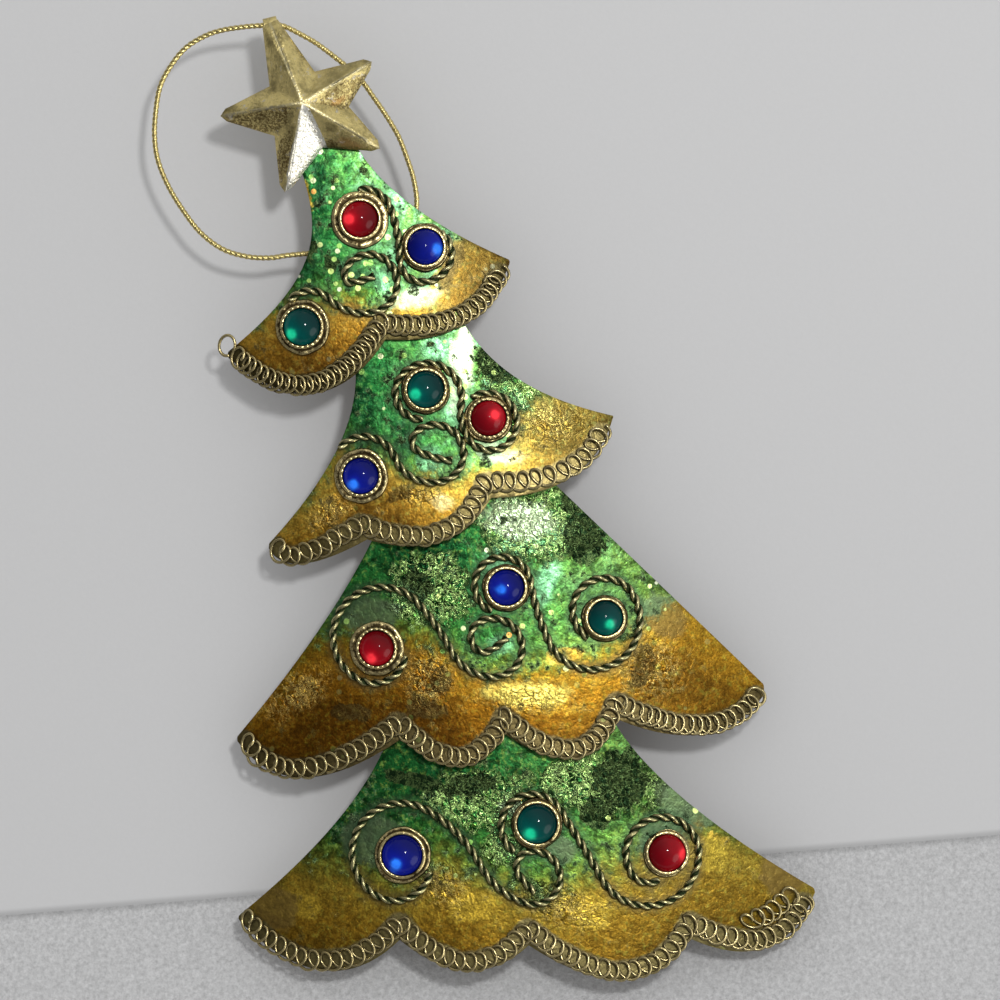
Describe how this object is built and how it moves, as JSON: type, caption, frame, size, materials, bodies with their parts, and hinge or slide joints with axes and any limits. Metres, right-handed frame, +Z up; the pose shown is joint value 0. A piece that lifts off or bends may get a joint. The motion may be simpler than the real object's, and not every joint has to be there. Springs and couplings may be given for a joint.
{
  "type": "metal christmas tree ornament",
  "caption": "Hanging sheet-metal christmas tree: overlapping bowed tiers under a pressed star, with coiled wire edging, wire scrolls, domed stones in serrated cups and a cord loop.",
  "frame": {"origin": "centre of the bore of the eye rolled at the star's top arm", "axes": "+X to the viewer's right, +Y to the back, +Z up, with the ornament standing as in the picture and its front facing -Y"},
  "size_m": [0.1064, 0.0119, 0.1543],
  "materials": {
    "star_brass": "satin, aged gold leaf with dark specks",
    "green_foil": "crinkled metallic foil, green running into gold",
    "amber_foil": "crinkled metallic foil, green at the top, amber gold below",
    "edge_wire": "antique brass wire",
    "scroll_wire": "twisted wire with dark patina",
    "cup_brass": "antique brass with bright edges",
    "stone_red": "polished, translucent",
    "stone_blue": "polished, translucent",
    "stone_green": "polished, translucent",
    "gold_cord": "twisted metallic cord",
    "solder": "dull solder"
  },
  "bodies": {
    "tree": {"star": "star_brass", "tier_1": "green_foil", "tier_2": "green_foil", "tier_3": "amber_foil", "tier_4": "amber_foil", "edge_coil_1": "edge_wire", "edge_coil_2": "edge_wire", "edge_coil_3": "edge_wire", "edge_coil_4": "edge_wire", "scroll_1a": "scroll_wire", "scroll_1b": "scroll_wire", "scroll_2a": "scroll_wire", "scroll_2b": "scroll_wire", "scroll_3a": "scroll_wire", "scroll_3b": "scroll_wire", "scroll_4a": "scroll_wire", "scroll_4b": "scroll_wire", "cup_1_red": "cup_brass", "cup_1_blue": "cup_brass", "cup_1_green": "cup_brass", "cup_2_red": "cup_brass", "cup_2_blue": "cup_brass", "cup_2_green": "cup_brass", "cup_3_red": "cup_brass", "cup_3_blue": "cup_brass", "cup_3_green": "cup_brass", "cup_4_red": "cup_brass", "cup_4_blue": "cup_brass", "cup_4_green": "cup_brass", "stone_1_red": "stone_red", "stone_1_blue": "stone_blue", "stone_1_green": "stone_green", "stone_2_red": "stone_red", "stone_2_blue": "stone_blue", "stone_2_green": "stone_green", "stone_3_red": "stone_red", "stone_3_blue": "stone_blue", "stone_3_green": "stone_green", "stone_4_red": "stone_red", "stone_4_blue": "stone_blue", "stone_4_green": "stone_green", "star_solder": "solder", "lap_solder_2": "solder", "lap_solder_3": "solder", "lap_solder_4": "solder"},
    "cord": {"hanging_cord": "gold_cord", "cord_knot": "gold_cord"}
  },
  "joints": [
    {"name": "cord_swing", "type": "hinge", "parent": "tree", "child": "cord", "pos_m": [0, 0, 0], "axis": [0.9703, 0, 0.2419], "range_deg": [0, 180]}
  ]
}
